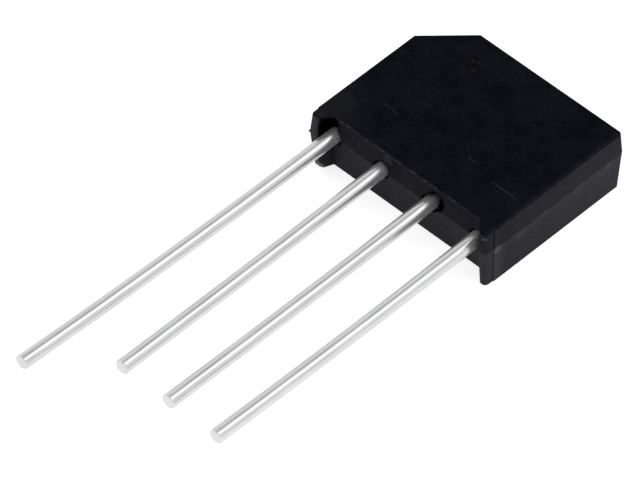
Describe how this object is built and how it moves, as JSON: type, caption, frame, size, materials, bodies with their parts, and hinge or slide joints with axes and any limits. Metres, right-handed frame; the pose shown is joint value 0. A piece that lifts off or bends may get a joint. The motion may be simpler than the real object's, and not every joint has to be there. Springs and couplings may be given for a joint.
{
  "type": "bridge rectifier",
  "caption": "Single-in-line bridge rectifier: black moulded block with a cut corner, two stand-off feet and round tinned leads, one of them longer.",
  "frame": {"origin": "middle of the back face, the face the part lies on", "axes": "+X along the lead row from the plus lead to the minus lead, -Y the way the leads point, +Z out of the marked front face"},
  "size_m": [0.019, 0.0477, 0.0058],
  "materials": {
    "epoxy": "fine-grained matt moulding compound",
    "tinned_lead": "bright tin over copper, faint drawing lines",
    "bare_copper": "stamped bare copper",
    "silicon": "sawn silicon with a metal face",
    "solder": "dull reflowed solder"
  },
  "bodies": {
    "root": {"moulded_body": "epoxy", "lead_plus": "tinned_lead", "lead_ac_1": "tinned_lead", "lead_ac_2": "tinned_lead", "lead_minus": "tinned_lead", "bar_plus": "bare_copper", "bar_minus": "bare_copper", "chip_ac_1_plus": "silicon", "chip_ac_2_plus": "silicon", "chip_ac_1_minus": "silicon", "chip_ac_2_minus": "silicon", "solder_blade_ac_1_plus": "solder", "solder_blade_ac_2_plus": "solder", "solder_blade_ac_1_minus": "solder", "solder_blade_ac_2_minus": "solder", "solder_bar_ac_1_plus": "solder", "solder_bar_ac_2_plus": "solder", "solder_bar_ac_1_minus": "solder", "solder_bar_ac_2_minus": "solder", "solder_lead_plus": "solder", "solder_lead_minus": "solder"}
  },
  "joints": []
}
